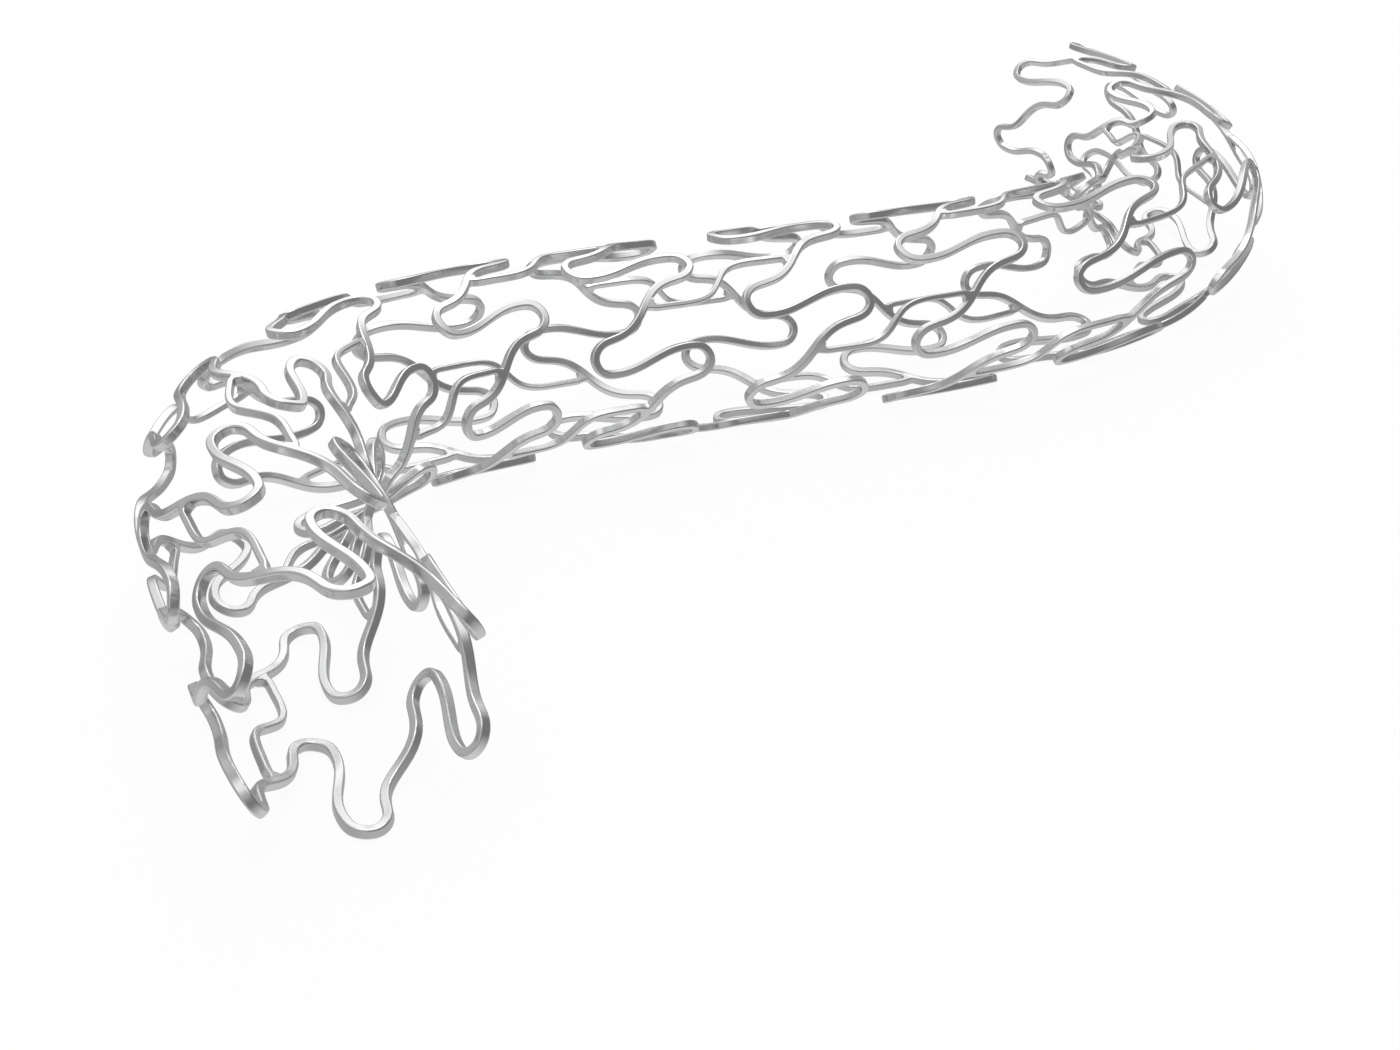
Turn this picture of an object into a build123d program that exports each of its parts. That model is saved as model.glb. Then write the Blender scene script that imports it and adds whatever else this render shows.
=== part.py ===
from build123d import *
import math
import os

# A vascular stent: one thin metal tube cut through into a lattice of wavy rings
# joined by S-shaped links, then bent into an S as it would follow an artery.

# Sizes in millimetres, angles in degrees
OUTER_DIAMETER = 3.0
WALL = 0.13
STRUT_WIDTH = 0.115
RINGS = 12
CELLS = 6              # waves round each ring
RING_PITCH = 2.785     # from ring to ring along the straight tube
RING_TWIST = 20.96     # each ring is turned this much further round the tube
FIRST_TURN = -33.95    # where the first ring's first long strut crosses the tube
LINK_WALL = 0.12       # links are a hair thinner than the rings
LINK_WIDTH = 0.09

MID_RADIUS = (OUTER_DIAMETER - WALL) / 2
CELL_HEIGHT = 2 * math.pi * MID_RADIUS / CELLS

# The cell drawn flat, from the middle of a long strut to the middle of a return strut.
# The other half is the same line turned half a turn about the return strut's middle.
LONG_STRUT_SLOPE = (0.952, -0.306)
HALF_CELL = [
    (0, 0), (0.367, -0.101), (0.697, -0.125), (0.929, -0.062), (1.024, 0.142),
    (0.928, 0.279), (0.625, 0.370), (0.316, 0.469), (0.114, 0.624),
]
RETURN_MIDDLE = (0, CELL_HEIGHT / 2)

# Half a link drawn flat, measured from the middle of the return strut it grows from.
# It ends half way to the next ring, where it turns half a turn about its own middle.
HALF_LINK = [(0.02, -0.02), (0.11, -0.012), (0.22, 0.010), (0.368, 0.014), (0.836, 0.012), (1.222, -0.090)]
LINK_MIDDLE = (RING_PITCH / 2, -math.radians(RING_TWIST) * MID_RADIUS / 2 + CELL_HEIGHT / 2)

# The bent centre line of the tube: handles of a smooth curve, one ring pitch apart
# on the straight tube, and where along the tube the curve's first span begins.
HANDLES = [
    (-8.90, -11.68), (-9.86, -9.54), (-9.71, -6.82), (-9.93, -4.15), (-9.20, -1.83),
    (-7.19, -0.54), (-4.82, -0.23), (-2.30, -0.19), (0.37, -0.22), (3.10, -0.08),
    (6.37, 0.67), (9.17, 3.17), (9.93, 6.82), (9.73, 9.77), (9.39, 12.00),
]
FIRST_SPAN = -0.47


def centre_line(pitches):
    """Point of the bent centre line and its direction, a number of ring pitches along."""
    span = int(pitches - FIRST_SPAN)
    f = pitches - FIRST_SPAN - span
    weights = ((1 - f) ** 3, 3 * f**3 - 6 * f**2 + 4, -3 * f**3 + 3 * f**2 + 3 * f + 1, f**3)
    slopes = (-((1 - f) ** 2), 3 * f**2 - 4 * f, -3 * f**2 + 2 * f + 1, f**2)
    point, direction = Vector(0, 0, OUTER_DIAMETER / 2), Vector(0, 0, 0)
    for handle, weight, slope in zip(HANDLES[span:], weights, slopes):
        point += Vector(*handle) * (weight / 6)
        direction += Vector(*handle) * slope
    return point, direction.normalized()


def on_tube(flat, ring, turn):
    """Wrap a point of the flat pattern on the middle of the bent tube's wall."""
    point, direction = centre_line(ring + flat.X / RING_PITCH)
    angle = math.radians(turn) - flat.Y / MID_RADIUS
    near_side = Vector(direction.Y, -direction.X, 0)
    outward = near_side * math.cos(angle) + Vector(0, 0, 1) * math.sin(angle)
    return point + outward * MID_RADIUS, outward


def section_plane(line, t, ring, turn):
    """Plane square across a strut, with X across its width and Y out of the tube."""
    step = 0.002
    before, _ = on_tube(line @ max(t - step, 0), ring, turn)
    after, _ = on_tube(line @ min(t + step, 1), ring, turn)
    point, outward = on_tube(line @ t, ring, turn)
    along = (after - before).normalized()
    return Plane(origin=point, x_dir=outward.cross(along), z_dir=along)


def half_turn(points, middle):
    """The same points turned half a turn about a middle point, in reverse order."""
    return [(2 * middle[0] - x, 2 * middle[1] - y) for x, y in reversed(points)]


# The flat pattern: one wave of a ring and one link
with BuildLine() as cell:
    Spline(
        *HALF_CELL,
        RETURN_MIDDLE,
        *half_turn(HALF_CELL, RETURN_MIDDLE),
        tangents=[LONG_STRUT_SLOPE, LONG_STRUT_SLOPE],
    )

# Stations along a cell and a link where the cross section is set: close together round bends
half_stations = [0, 0.10, 0.17, 0.212, 0.252, 0.295, 0.37, 0.44]
STATIONS = half_stations + [0.5] + [1 - t for t in reversed(half_stations[1:])]
LINK_STATIONS = [0, 0.08, 0.28, 0.355, 0.42, 0.58, 0.645, 0.72, 0.92, 1]

link_start = [(x, y + CELL_HEIGHT / 2) for x, y in HALF_LINK]
with BuildLine() as link:
    Spline(*link_start, LINK_MIDDLE, *half_turn(link_start, LINK_MIDDLE))


def section(line, t, ring, turn, width, wall):
    """Corners of a strut's rectangular cross section at one place along a flat line."""
    plane = section_plane(line, t, ring, turn)
    x, y = width / 2, wall / 2
    return [plane.from_local_coords(Vector(*corner, 0)) for corner in ((-x, -y), (x, -y), (x, y), (-x, y))]


def skin(sections):
    """Flat triangles between each section and the next, all round the strut."""
    faces = []
    for near, far in zip(sections, sections[1:]):
        for i in range(4):
            a, b, c, d = near[i], near[(i + 1) % 4], far[(i + 1) % 4], far[i]
            faces += [Face(Wire.make_polygon([a, b, c])), Face(Wire.make_polygon([a, c, d]))]
    return faces


def wavy_ring(ring):
    """One closed ring: its waves follow one another round the tube."""
    sections = []
    for wave in range(CELLS):
        turn = FIRST_TURN + ring * RING_TWIST - wave * 360 / CELLS
        sections += [section(cell.line, t, ring, turn, STRUT_WIDTH, WALL) for t in STATIONS]
    return Solid(Shell(skin(sections + sections[:1])))


def link_strut(ring, wave):
    """One S-shaped link, its ends set into the return struts of two rings."""
    turn = FIRST_TURN + ring * RING_TWIST - wave * 360 / CELLS
    sections = [section(link.line, t, ring, turn, LINK_WIDTH, LINK_WALL) for t in LINK_STATIONS]
    ends = [Face(Wire.make_polygon(end)) for end in (sections[0], sections[-1])]
    return Solid(Shell(skin(sections) + ends))


pieces = [wavy_ring(ring) for ring in range(RINGS)]
for ring in range(RINGS - 1):
    # every second return strut carries a link, and the turn of the rings shifts them
    pieces += [link_strut(ring, wave) for wave in range(CELLS) if (wave - 1 - ring) % 2 == 0]

with BuildPart() as stent:
    add(pieces, clean=False)

stent.part.label = "stent"
os.makedirs("parts", exist_ok=True)
export_step(stent.part, "parts/stent.step")
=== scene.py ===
"""A vascular stent in satin silver metal, bent into an S, lying on a white studio floor."""
import math

import bpy
import numpy as np
from mathutils import Matrix, Vector


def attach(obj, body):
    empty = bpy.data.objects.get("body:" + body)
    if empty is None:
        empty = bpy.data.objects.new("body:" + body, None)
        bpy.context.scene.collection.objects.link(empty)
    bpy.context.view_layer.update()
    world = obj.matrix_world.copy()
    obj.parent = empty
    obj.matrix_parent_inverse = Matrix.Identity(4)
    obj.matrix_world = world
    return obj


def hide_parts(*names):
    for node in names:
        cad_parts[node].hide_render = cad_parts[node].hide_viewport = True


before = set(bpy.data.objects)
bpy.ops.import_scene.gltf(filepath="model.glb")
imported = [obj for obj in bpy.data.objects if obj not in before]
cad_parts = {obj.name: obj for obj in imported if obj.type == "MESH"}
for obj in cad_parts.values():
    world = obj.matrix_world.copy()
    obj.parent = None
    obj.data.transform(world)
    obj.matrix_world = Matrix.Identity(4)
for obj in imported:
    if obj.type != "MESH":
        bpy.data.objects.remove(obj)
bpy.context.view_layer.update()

# The stent's sizes, in millimetres and degrees
MM = 0.001             # one millimetre in metres, the unit of the frame
OUTER_DIAMETER = 3.0
WALL = 0.13
STRUT_WIDTH = 0.115
RINGS = 12
CELLS = 6              # waves round each ring
RING_PITCH = 2.785     # from ring to ring along the straight tube
RING_TWIST = 20.96     # each ring is turned this much further round the tube
FIRST_TURN = -33.95    # how far round the tube the first ring's first wave starts
LINK_WALL = 0.122      # links are a hair thinner than the rings
LINK_WIDTH = 0.09
EDGE_ROUNDING = 0.026  # the polished edges of every strut

# The narrow corner between a link and its ring is filled with metal and rounded
CROTCH_ROUNDING = 0.05
WEB_FULL = 0.155       # how far along the link the corner is filled
WEB_END = WEB_FULL + CROTCH_ROUNDING
WEB_START, WEB_DEEP = 0.018, 0.10    # how far it stands out, at the link's end and where it is deepest
OPEN_WEB, OPEN_WEB_END = 0.02, 0.12  # the smaller filling on the link's open side, and its length

MID_RADIUS = (OUTER_DIAMETER - WALL) / 2
CELL_HEIGHT = 2 * math.pi * MID_RADIUS / CELLS

# One wave of a ring drawn flat, from the middle of a long strut to the middle of a return strut
LONG_STRUT_SLOPE = (0.952, -0.306)
HALF_CELL = [
    (0, 0), (0.367, -0.101), (0.697, -0.125), (0.929, -0.062), (1.024, 0.142),
    (0.928, 0.279), (0.625, 0.370), (0.316, 0.469), (0.114, 0.624),
]
RETURN_MIDDLE = (0, CELL_HEIGHT / 2)

# Half a link drawn flat, from the middle of the return strut that it grows from
HALF_LINK = [(0.02, -0.02), (0.11, -0.012), (0.22, 0.010), (0.368, 0.014), (0.836, 0.012), (1.222, -0.090)]
LINK_MIDDLE = (RING_PITCH / 2, -math.radians(RING_TWIST) * MID_RADIUS / 2 + CELL_HEIGHT / 2)

# Handles of the tube's bent centre line, one ring pitch apart on the straight tube
HANDLES = [
    (-8.90, -11.68), (-9.86, -9.54), (-9.71, -6.82), (-9.93, -4.15), (-9.20, -1.83),
    (-7.19, -0.54), (-4.82, -0.23), (-2.30, -0.19), (0.37, -0.22), (3.10, -0.08),
    (6.37, 0.67), (9.17, 3.17), (9.93, 6.82), (9.73, 9.77), (9.39, 12.00),
]
FIRST_SPAN = -0.47   # where the first handles' span starts, in ring pitches from the first ring

# How finely the struts are meshed: the steps along them, the most they turn in one step, the steps round
# an edge, and the points of the fine line that the steps are measured on
LONGEST_STEP, SHORTEST_STEP = 0.16, 0.012
MOST_TURN = math.radians(13)
CORNER_STEPS = 2
FINE_LINE_POINTS = 1500


# The flat pattern

def half_turn(points, middle):
    """The same points turned half a turn about a middle point, in reverse order."""
    return [(2 * middle[0] - x, 2 * middle[1] - y) for x, y in reversed(points)]


def smooth_line(points, end_slope=None):
    """A fine polyline along the smooth curve through a few drawn points."""
    drawn = np.array(points, float)
    chord = np.linalg.norm(np.diff(drawn, axis=0), axis=1)
    rise = np.diff(drawn, axis=0) / chord[:, None]
    count = len(drawn)
    system, known = np.zeros((count, count)), np.zeros((count, 2))
    for i in range(1, count - 1):
        system[i, i - 1:i + 2] = chord[i], 2 * (chord[i - 1] + chord[i]), chord[i - 1]
        known[i] = 3 * (chord[i] * rise[i - 1] + chord[i - 1] * rise[i])
    if end_slope is None:
        system[0, :2], known[0] = (2, 1), 3 * rise[0]
        system[-1, -2:], known[-1] = (1, 2), 3 * rise[-1]
    else:
        system[0, 0] = system[-1, -1] = 1
        known[0] = known[-1] = end_slope
    slope = np.linalg.solve(system, known)
    knots = np.concatenate([[0], np.cumsum(chord)])
    place = np.linspace(0, knots[-1], FINE_LINE_POINTS)
    i = np.clip(np.searchsorted(knots, place, side="right") - 1, 0, count - 2)
    f, h = ((place - knots[i]) / chord[i])[:, None], chord[i][:, None]
    ends = drawn[i] * (1 + 2 * f) * (1 - f) ** 2 + drawn[i + 1] * f**2 * (3 - 2 * f)
    return ends + h * (slope[i] * f * (1 - f) ** 2 - slope[i + 1] * f**2 * (1 - f))


def spaced(line, fine_end=0):
    """The line with points a step apart, and closer together where it turns and at fine ends."""
    ahead = np.diff(line, axis=0)
    heading = np.unwrap(np.arctan2(ahead[:, 1], ahead[:, 0]))
    turning = np.abs(np.diff(heading, prepend=heading[0]))
    length = np.linalg.norm(ahead, axis=1)
    place = np.cumsum(length)
    near_end = np.minimum(place, place[-1] - place) < fine_end
    effort = length / np.where(near_end, SHORTEST_STEP, LONGEST_STEP) + turning / MOST_TURN
    effort = np.concatenate([[0], np.cumsum(effort)])
    places = np.linspace(0, effort[-1], math.ceil(effort[-1]) + 1)
    return np.column_stack([np.interp(places, effort, line[:, k]) for k in (0, 1)])


def wave_line():
    """One wave of a ring, drawn flat."""
    points = [*HALF_CELL, RETURN_MIDDLE, *half_turn(HALF_CELL, RETURN_MIDDLE)]
    return spaced(smooth_line(points, LONG_STRUT_SLOPE))


def link_line():
    """One link from ring to ring, drawn flat."""
    start = [(x, y + CELL_HEIGHT / 2) for x, y in HALF_LINK]
    return spaced(smooth_line([*start, LINK_MIDDLE, *half_turn(start, LINK_MIDDLE)]), WEB_END)


# Wrapping the pattern on the bent tube

def centre_line(pitches):
    """Points of the bent centre line and its directions, a number of ring pitches along."""
    along = pitches - FIRST_SPAN
    span = along.astype(int)
    f = along - span
    weights = ((1 - f) ** 3, 3 * f**3 - 6 * f**2 + 4, -3 * f**3 + 3 * f**2 + 3 * f + 1, f**3)
    slopes = (-((1 - f) ** 2), 3 * f**2 - 4 * f, -3 * f**2 + 2 * f + 1, f**2)
    handles = np.array(HANDLES)
    flat_point = sum(w[:, None] * handles[span + k] for k, w in enumerate(weights)) / 6
    direction = sum(s[:, None] * handles[span + k] for k, s in enumerate(slopes))
    direction /= np.linalg.norm(direction, axis=1)[:, None]
    height = np.full(len(along), OUTER_DIAMETER / 2)
    return np.column_stack([flat_point, height]), direction


def on_tube(flat, ring, turn):
    """Flat points wrapped on the middle of the bent tube's wall, with the way out of the tube there."""
    point, direction = centre_line(ring + flat[:, 0] / RING_PITCH)
    angle = math.radians(turn) - flat[:, 1] / MID_RADIUS
    near = np.cos(angle)
    outward = np.column_stack([near * direction[:, 1], -near * direction[:, 0], np.sin(angle)])
    return point + outward * MID_RADIUS, outward


def unit(vectors):
    return vectors / np.linalg.norm(vectors, axis=-1, keepdims=True)


# Struts as meshes

class Lattice:
    """Collects the vertices, faces and surface marks of all struts of the stent."""

    def __init__(self):
        self.points, self.normals, self.quads, self.caps = [], [], [], []
        self.edge, self.strut_uv, self.cut = [], [], []
        self.count = 0

    def strut(self, middle, outward, left, right, wall, closed):
        """Sweep a rounded rectangle along a strut's middle line, left and right of it."""
        if closed:
            before, after = np.roll(middle, 1, axis=0), np.roll(middle, -1, axis=0)
            along = unit(after - before)
        else:
            along = unit(np.gradient(middle, axis=0))
        across = unit(np.cross(outward, along))
        out = np.cross(along, across)
        n = len(middle)
        reach = {1: np.broadcast_to(right, n), -1: np.broadcast_to(left, n)}

        section = []  # side, top, turn of the normal, how near the middle of a rounded edge
        for side, top, start in ((1, 1, 0), (-1, 1, 90), (-1, -1, 180), (1, -1, 270)):
            for k in range(CORNER_STEPS + 1):
                share = k / CORNER_STEPS
                section.append((side, top, math.radians(start + 90 * share), 1 - abs(2 * share - 1)))
        side, top, angle, edge = np.array(section).T
        flat = np.stack([s * (reach[s] - EDGE_ROUNDING) for s in side], axis=1)
        x = flat + EDGE_ROUNDING * np.cos(angle)
        y = np.broadcast_to(top * (wall / 2 - EDGE_ROUNDING) + EDGE_ROUNDING * np.sin(angle), x.shape)
        ring = middle[:, None] + x[..., None] * across[:, None] + y[..., None] * out[:, None]

        # The normals follow the rounded edges, and lean along the strut where a side flares out
        step = np.linalg.norm(np.gradient(middle, axis=0), axis=1)
        flare = np.stack([np.gradient(reach[s]) / step for s in side], axis=1) * np.abs(np.cos(angle))
        facing = np.cos(angle)[None, :, None] * across[:, None] + np.sin(angle)[None, :, None] * out[:, None]
        facing = unit(facing - flare[..., None] * along[:, None])
        k = len(section)
        self.points.append(ring.reshape(-1, 3))
        self.normals.append(facing.reshape(-1, 3))
        self.edge.append(np.tile(edge, n))

        steps = n if closed else n - 1
        i = np.repeat(np.arange(steps), k)
        j = np.tile(np.arange(k), steps)
        i2, j2 = (i + 1) % n, (j + 1) % k
        quads = self.count + np.column_stack([i * k + j, i * k + j2, i2 * k + j2, i2 * k + j])
        self.quads.append(quads)
        self.cut.append(np.isin(j % (2 * (CORNER_STEPS + 1)), self.cut_columns()))

        step_length = np.linalg.norm(np.diff(middle, axis=0, append=middle[:1]), axis=1)
        u = np.concatenate([[0], np.cumsum(step_length)])
        around = np.linalg.norm(ring[0] - np.roll(ring[0], -1, axis=0), axis=1)
        v = np.concatenate([[0], np.cumsum(around)])
        corners = [(u[i], v[j]), (u[i], v[j + 1]), (u[i + 1], v[j + 1]), (u[i + 1], v[j])]
        self.strut_uv.append(np.stack([np.column_stack(c) for c in corners], axis=1))
        if not closed:
            self.caps.append(self.count + np.arange(k)[::-1])
            self.caps.append(self.count + (n - 1) * k + np.arange(k))
        self.count += n * k

    @staticmethod
    def cut_columns():
        """Columns of faces that the laser cut: the strut's sides and the near halves of its edges."""
        half = CORNER_STEPS // 2
        corner = CORNER_STEPS + 1
        return [*range(half), *range(corner + half, 2 * corner)]

    def mesh(self, name):
        points = np.concatenate(self.points) * MM
        quads = np.concatenate(self.quads)
        faces = [*quads.tolist(), *[cap.tolist() for cap in self.caps]]
        mesh = bpy.data.meshes.new(name)
        mesh.from_pydata(points.tolist(), [], faces)
        cut = np.concatenate([np.concatenate(self.cut), np.zeros(len(self.caps), bool)])
        mesh.polygons.foreach_set("material_index", cut.astype(np.int32))
        mesh.polygons.foreach_set("use_smooth", np.ones(len(faces), bool))
        layer = mesh.uv_layers.new(name="StrutMap")
        uv = np.zeros((len(mesh.loops), 2), np.float32)
        flat = np.concatenate(self.strut_uv).reshape(-1, 2)
        uv[:len(flat)] = flat
        layer.data.foreach_set("uv", uv.ravel())
        edge = mesh.attributes.new("edge", "FLOAT", "POINT")
        edge.data.foreach_set("value", np.concatenate(self.edge).astype(np.float32))
        mesh.normals_split_custom_set_from_vertices(np.concatenate(self.normals).tolist())
        mesh.update()
        return mesh


def link_side(distance, whole):
    """Half width of a link on the side whose narrow crotch is where the distance is zero."""
    rounding = np.clip((WEB_END - distance) / CROTCH_ROUNDING, 0, 1)
    filling = WEB_START + (WEB_DEEP - WEB_START) * distance / WEB_FULL
    narrow = np.where(distance < WEB_FULL, filling, CROTCH_ROUNDING * (1 - np.sqrt(1 - rounding**2)))
    open_side = OPEN_WEB * np.clip(1 - (whole - distance) / OPEN_WEB_END, 0, 1) ** 2
    return LINK_WIDTH / 2 + narrow + open_side


def build_stent():
    """The whole lattice: twelve wavy rings and the S-shaped links between them."""
    lattice = Lattice()
    wave, link = wave_line(), link_line()
    length = np.concatenate([[0], np.cumsum(np.linalg.norm(np.diff(link, axis=0), axis=1))])
    left, right = (link_side(from_start, length[-1]) for from_start in (length[-1] - length, length))
    for ring in range(RINGS):
        turns = [FIRST_TURN + ring * RING_TWIST - wave_number * 360 / CELLS for wave_number in range(CELLS)]
        parts = [on_tube(wave[:-1], ring, turn) for turn in turns]
        middle, outward = (np.concatenate([part[k] for part in parts]) for k in (0, 1))
        lattice.strut(middle, outward, STRUT_WIDTH / 2, STRUT_WIDTH / 2, WALL, closed=True)
        if ring == RINGS - 1:
            break
        for wave_number, turn in enumerate(turns):
            if (wave_number - 1 - ring) % 2 == 0:
                middle, outward = on_tube(link, ring, turn)
                lattice.strut(middle, outward, left, right, LINK_WALL, closed=False)
    stent = bpy.data.objects.new("stent_lattice", lattice.mesh("stent_lattice"))
    bpy.context.scene.collection.objects.link(stent)
    return stent


# Nodes that the materials, the floor and the room share

def new_material(name):
    material = bpy.data.materials.new(name)
    material.use_nodes = True
    material.node_tree.nodes.clear()
    return material, material.node_tree.nodes, material.node_tree.links


def feed(links, socket, value):
    """Give a socket another node's output, or a plain value."""
    if isinstance(value, bpy.types.NodeSocket):
        links.new(value, socket)
    else:
        socket.default_value = value


def calculate(nodes, links, operation, *values):
    """The result of a sum on plain numbers or other nodes' outputs."""
    node = nodes.new("ShaderNodeMath")
    node.operation = operation
    for socket, value in zip(node.inputs, values):
        feed(links, socket, value)
    return node.outputs["Value"]


def blend(nodes, links, share, first, second, kind="FLOAT"):
    """Two numbers or two colours, mixed by a share."""
    node = nodes.new("ShaderNodeMix")
    node.data_type = kind
    for name, value in (("Factor", share), ("A", first), ("B", second)):
        feed(links, node.inputs[name], value)
    return node.outputs["Result"]


def rescale(nodes, links, value, before, after=(0.0, 1.0), easing="LINEAR"):
    """A value moved from one range to another, and held at the range's ends."""
    node = nodes.new("ShaderNodeMapRange")
    node.interpolation_type = easing
    for name, end in zip(("From Min", "From Max", "To Min", "To Max"), (*before, *after)):
        feed(links, node.inputs[name], end)
    links.new(value, node.inputs["Value"])
    return node.outputs["Result"]


def mix_shaders(nodes, links, share, first, second):
    mix = nodes.new("ShaderNodeMixShader")
    for socket, value in zip(mix.inputs, (share, first, second)):
        links.new(value, socket)
    return mix.outputs["Shader"]


def shown_rays(nodes, links, mirrored_share=1.0):
    """1 for rays that show the background straight or through glass, and a share for mirrored ones."""
    path = nodes.new("ShaderNodeLightPath")
    shown = calculate(nodes, links, "MULTIPLY", path.outputs["Is Glossy Ray"], mirrored_share)
    for ray in ("Is Camera Ray", "Is Transmission Ray"):
        shown = calculate(nodes, links, "MAXIMUM", shown, path.outputs[ray])
    return shown


# The metal
BLOTCH_DETAIL, GRAIN_DETAIL = 3, 2
BLOTCH_RANGE = (0.3, 0.7)      # nearly all of the blotches' values lie between these
RELIEF_STRENGTH = 0.15
RELIEF_DEPTH = 0.0005 * MM     # height of the grain and of the lines that the laser leaves
LASER_LINES, LASER_LINE_WANDER, LASER_LINE_DETAIL = 18, 1.5, 2


def noise(nodes, links, place, size, detail):
    """Soft noise with features of a size in millimetres."""
    texture = nodes.new("ShaderNodeTexNoise")
    texture.inputs["Detail"].default_value = detail
    links.new(place, texture.inputs["Vector"])
    links.new(calculate(nodes, links, "DIVIDE", 1 / MM, size), texture.inputs["Scale"])
    return texture.outputs["Fac"]


def satin_metal_group():
    """Soft blotches and a fine grain, as a polishing bath leaves them, and edges worn brighter."""
    group = bpy.data.node_groups.new("satin_metal", "ShaderNodeTree")
    sockets = {
        ("INPUT", "Color"): ("Dark Shade", "Light Shade", "Edge Shade"),
        ("INPUT", "Float"): (
            "Finest Polish", "Coarsest Polish", "Edge Polish", "Blotch Size", "Grain Size",
        ),
        ("OUTPUT", "Color"): ("Shade",),
        ("OUTPUT", "Float"): ("Roughness", "Grain"),
    }
    for (way, kind), names in sockets.items():
        for name in names:
            group.interface.new_socket(name, in_out=way, socket_type="NodeSocket" + kind)
    nodes, links = group.nodes, group.links
    given, results = nodes.new("NodeGroupInput").outputs, nodes.new("NodeGroupOutput").inputs

    place = nodes.new("ShaderNodeTexCoord").outputs["Object"]
    blotches = noise(nodes, links, place, given["Blotch Size"], BLOTCH_DETAIL)
    edge_mark = nodes.new("ShaderNodeAttribute")
    edge_mark.attribute_name = "edge"
    edge = edge_mark.outputs["Fac"]

    shade = blend(nodes, links, blotches, given["Dark Shade"], given["Light Shade"], kind="RGBA")
    worn = calculate(nodes, links, "MULTIPLY", edge, blotches)
    links.new(blend(nodes, links, worn, shade, given["Edge Shade"], kind="RGBA"), results["Shade"])
    polish = (given["Finest Polish"], given["Coarsest Polish"])
    rough = rescale(nodes, links, blotches, BLOTCH_RANGE, polish)
    links.new(blend(nodes, links, edge, rough, given["Edge Polish"]), results["Roughness"])
    links.new(noise(nodes, links, place, given["Grain Size"], GRAIN_DETAIL), results["Grain"])
    return group


def laser_lines(nodes, links):
    """Fine lines across the cut side, left by the laser's pulses."""
    strut_map = nodes.new("ShaderNodeUVMap")
    strut_map.uv_map = "StrutMap"
    lines = nodes.new("ShaderNodeTexWave")
    lines.wave_type, lines.bands_direction = "BANDS", "X"
    lines.inputs["Scale"].default_value = LASER_LINES
    lines.inputs["Distortion"].default_value = LASER_LINE_WANDER
    lines.inputs["Detail"].default_value = LASER_LINE_DETAIL
    links.new(strut_map.outputs["UV"], lines.inputs["Vector"])
    return lines.outputs["Fac"]


def metal_material(name, satin, finish, laser_cut):
    """Bare satin metal, with fine lines as well where the laser cut it."""
    material, nodes, links = new_material(name)
    shader = nodes.new("ShaderNodeBsdfPrincipled")
    shader.inputs["Metallic"].default_value = 1.0
    links.new(shader.outputs["BSDF"], nodes.new("ShaderNodeOutputMaterial").inputs["Surface"])

    surface = nodes.new("ShaderNodeGroup")
    surface.node_tree = satin
    for socket, value in finish.items():
        surface.inputs[socket].default_value = value
    links.new(surface.outputs["Shade"], shader.inputs["Base Color"])
    links.new(surface.outputs["Roughness"], shader.inputs["Roughness"])

    height = surface.outputs["Grain"]
    if laser_cut:
        height = calculate(nodes, links, "ADD", height, laser_lines(nodes, links))
    relief = nodes.new("ShaderNodeBump")
    relief.inputs["Strength"].default_value = RELIEF_STRENGTH
    relief.inputs["Distance"].default_value = RELIEF_DEPTH
    links.new(height, relief.inputs["Height"])
    links.new(relief.outputs["Normal"], shader.inputs["Normal"])
    return material


# The two finishes: shades as colours, polish as roughness, sizes in millimetres
SKIN_FINISH = {
    "Dark Shade": (0.78, 0.782, 0.785, 1), "Light Shade": (0.82, 0.822, 0.825, 1),
    "Edge Shade": (0.84, 0.84, 0.84, 1),
    "Finest Polish": 0.15, "Coarsest Polish": 0.20, "Edge Polish": 0.05,
    "Blotch Size": 0.5, "Grain Size": 0.03,
}
CUT_FINISH = {
    "Dark Shade": (0.76, 0.762, 0.765, 1), "Light Shade": (0.81, 0.812, 0.815, 1),
    "Edge Shade": (0.84, 0.84, 0.84, 1),
    "Finest Polish": 0.16, "Coarsest Polish": 0.22, "Edge Polish": 0.05,
    "Blotch Size": 0.4, "Grain Size": 0.025,
}


# The floor
FLOOR_REACH = 3.0         # metres from the stent to each side
FLOOR_GAP = 0.002 * MM    # keeps the floor just clear of the lowest struts
FLOOR_PAINT = (0.95, 0.95, 0.95, 1)
FLOOR_WHITENESS = 0.90    # how much of the floor's white is its own, the rest shows the shadow
FLOOR_LEVEL = 1.03        # just over white, so that the floor away from the shadow is pure white
NEAR_FLOOR_FADE = 0.27    # how much dimmer the metal mirrors the floor below it
FAR_FLOOR_FADE = 0.55     # and how much more the light fades toward the far floor


def floor_material():
    """White paint that mostly shines by itself, and that the metal mirrors dimmer far away."""
    material, nodes, links = new_material("studio_white")
    paint = nodes.new("ShaderNodeBsdfDiffuse")
    paint.inputs["Color"].default_value = FLOOR_PAINT
    grazing = nodes.new("ShaderNodeLayerWeight").outputs["Facing"]
    mirrored = nodes.new("ShaderNodeLightPath").outputs["Is Glossy Ray"]
    fade = calculate(nodes, links, "MULTIPLY_ADD", grazing, FAR_FLOOR_FADE, NEAR_FLOOR_FADE)
    dimmed = calculate(nodes, links, "MULTIPLY", fade, mirrored)
    white = nodes.new("ShaderNodeEmission")
    links.new(calculate(nodes, links, "SUBTRACT", FLOOR_LEVEL, dimmed), white.inputs["Strength"])
    share = calculate(nodes, links, "MULTIPLY", shown_rays(nodes, links), FLOOR_WHITENESS)
    look = mix_shaders(nodes, links, share, paint.outputs["BSDF"], white.outputs["Emission"])
    links.new(look, nodes.new("ShaderNodeOutputMaterial").inputs["Surface"])
    return material


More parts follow.
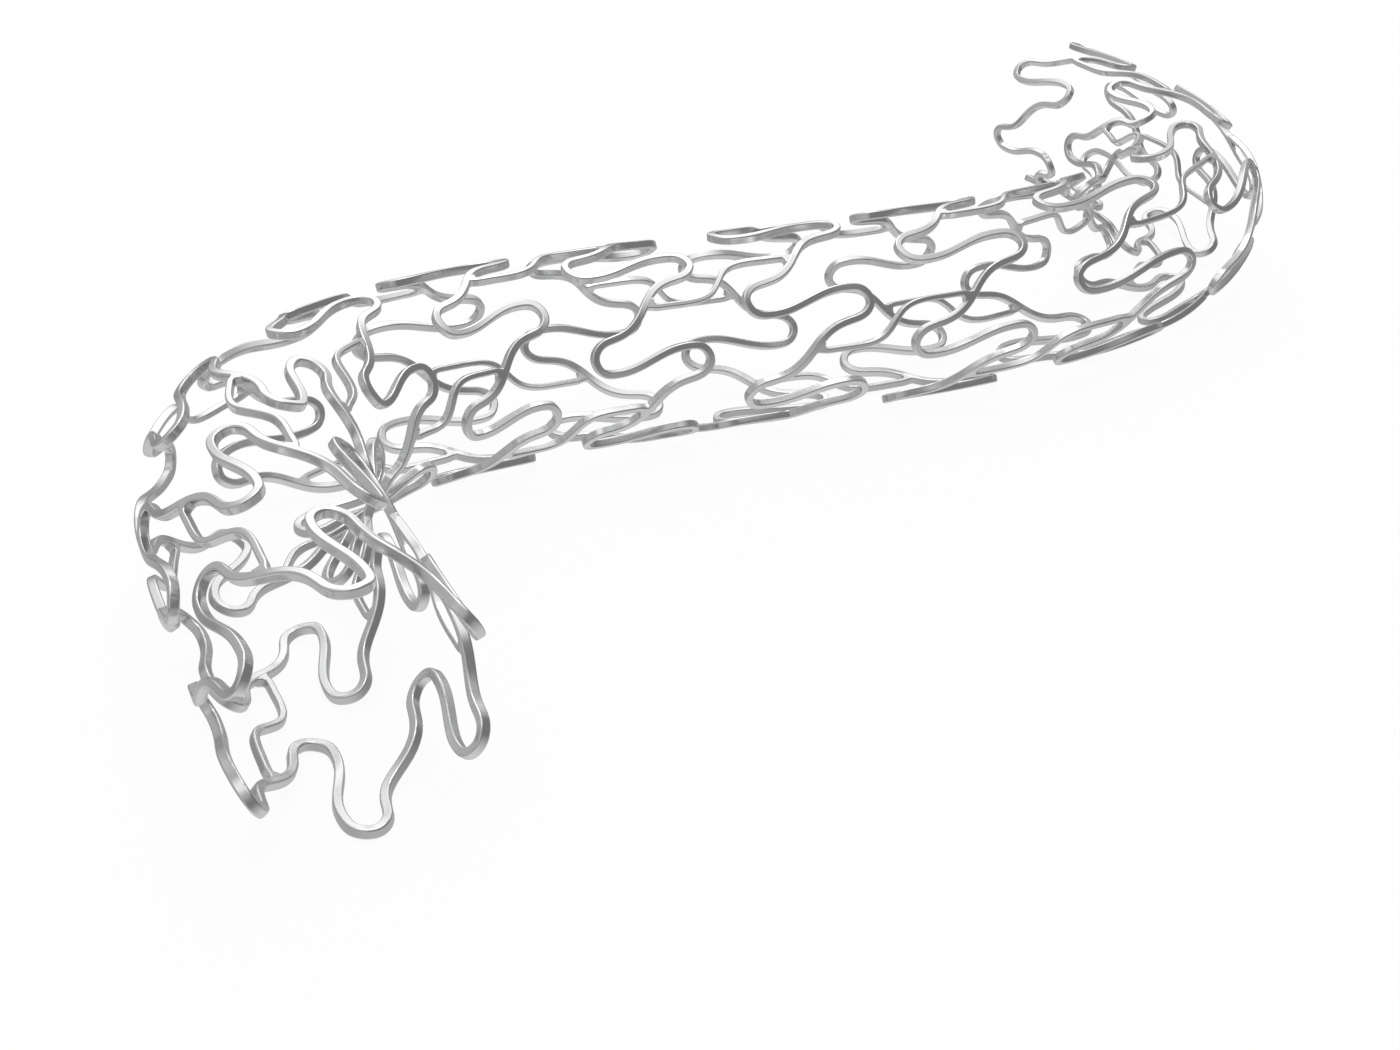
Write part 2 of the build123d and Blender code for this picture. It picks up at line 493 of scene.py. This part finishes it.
def build_floor():
    """A wide white floor that keeps a faint shadow of the stent."""
    mesh = bpy.data.meshes.new("floor")
    corners = [(x * FLOOR_REACH, y * FLOOR_REACH, 0) for x, y in ((-1, -1), (1, -1), (1, 1), (-1, 1))]
    mesh.from_pydata(corners, [], [(0, 1, 2, 3)])
    mesh.materials.append(floor_material())
    floor = bpy.data.objects.new("floor", mesh)
    floor.location.z = -FLOOR_GAP
    bpy.context.scene.collection.objects.link(floor)


# The room round the stent: the level of its walls, and three sides that differ. Each side has
# a direction, how nearly another direction must face it for the change to start and be full, and a level.
WALLS = 0.417
DIM_SIDE = ((0.766, -0.643, 0.0), 0.2, 0.55, 0.108)
BRIGHT_FAR_SIDE = ((0.217, 0.81, 0.545), 0.84, 0.985, 1.352)
CEILING = ((0.0, 0.0, 1.0), 0.69, 0.97, 1.12)
WHITE_IN_METAL = 0.12   # how much of the plain white background the metal mirrors besides the room


def build_room():
    """A white background, lit brightest overhead and beyond the stent, and dimly from behind the camera."""
    world = bpy.data.worlds.new("studio")
    world.use_nodes = True
    bpy.context.scene.world = world
    nodes, links = world.node_tree.nodes, world.node_tree.links
    nodes.clear()
    direction = nodes.new("ShaderNodeTexCoord").outputs["Generated"]
    level = WALLS
    for toward, start, full, side_level in (DIM_SIDE, BRIGHT_FAR_SIDE, CEILING):
        facing = nodes.new("ShaderNodeVectorMath")
        facing.operation = "DOT_PRODUCT"
        facing.inputs[1].default_value = toward
        links.new(direction, facing.inputs[0])
        share = rescale(nodes, links, facing.outputs["Value"], (start, full), easing="SMOOTHSTEP")
        level = blend(nodes, links, share, level, side_level)
    room, white = nodes.new("ShaderNodeBackground"), nodes.new("ShaderNodeBackground")
    for background in (room, white):
        background.inputs["Color"].default_value = (1, 1, 1, 1)
    white.inputs["Strength"].default_value = 1.0
    links.new(level, room.inputs["Strength"])
    shown = shown_rays(nodes, links, WHITE_IN_METAL)
    look = mix_shaders(nodes, links, shown, room.outputs[0], white.outputs[0])
    links.new(look, nodes.new("ShaderNodeOutputWorld").inputs["Surface"])


# The lamp high behind the stent, in metres and degrees. A sheet of plain white has a radiance of 1.
LAMP_TURN, LAMP_HEIGHT = 150, 66
LAMP_DISTANCE, LAMP_SIZE = 0.30, 0.12
LAMP_RADIANCE = 1.6


def build_lamp():
    """A square soft lamp that faces the stent."""
    light = bpy.data.lights.new("overhead_lamp", "AREA")
    light.size = LAMP_SIZE
    light.energy = LAMP_RADIANCE * math.pi * LAMP_SIZE**2
    lamp = bpy.data.objects.new("overhead_lamp", light)
    bpy.context.scene.collection.objects.link(lamp)
    turn, height = math.radians(LAMP_TURN), math.radians(LAMP_HEIGHT)
    away = Vector((math.sin(turn) * math.cos(height), -math.cos(turn) * math.cos(height), math.sin(height)))
    lamp.location = away * LAMP_DISTANCE
    lamp.rotation_euler = away.to_track_quat("Z", "Y").to_euler()
    lamp.visible_camera = False


# The photograph's viewpoint: degrees, and millimetres in the stent's own frame
VIEW_TURN, VIEW_DOWN, VIEW_ROLL = 22.865, 25.961, 0.531
VIEW_PLACE = (-13.501, -26.946, 12.380)
FOCAL_PIXELS, PHOTO_WIDTH = 2030.93, 1400
NEAREST, FARTHEST = 1 * MM, 10   # metres from the camera that are drawn


def build_camera():
    camera = bpy.data.cameras.new("camera")
    camera.sensor_fit, camera.sensor_width = "HORIZONTAL", 36
    camera.lens = FOCAL_PIXELS / PHOTO_WIDTH * camera.sensor_width
    camera.clip_start, camera.clip_end = NEAREST, FARTHEST
    holder = bpy.data.objects.new("camera", camera)
    bpy.context.scene.collection.objects.link(holder)
    turned = Matrix.Rotation(-math.radians(VIEW_TURN), 4, "Z")
    tilted = Matrix.Rotation(math.radians(90 - VIEW_DOWN), 4, "X")
    rolled = Matrix.Rotation(math.radians(VIEW_ROLL), 4, "Z")
    place = Matrix.Translation(Vector(VIEW_PLACE) * MM)
    holder.matrix_world = place @ turned @ tilted @ rolled
    bpy.context.scene.camera = holder


# Putting it together
satin = satin_metal_group()
polished_skin = metal_material("polished_skin", satin, SKIN_FINISH, laser_cut=False)
laser_cut_side = metal_material("laser_cut_side", satin, CUT_FINISH, laser_cut=True)

stent = build_stent()
stent.data.materials.append(polished_skin)
stent.data.materials.append(laser_cut_side)
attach(stent, "root")
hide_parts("stent")

build_floor()
build_room()
build_lamp()
build_camera()
bpy.context.scene.view_settings.view_transform = "Standard"
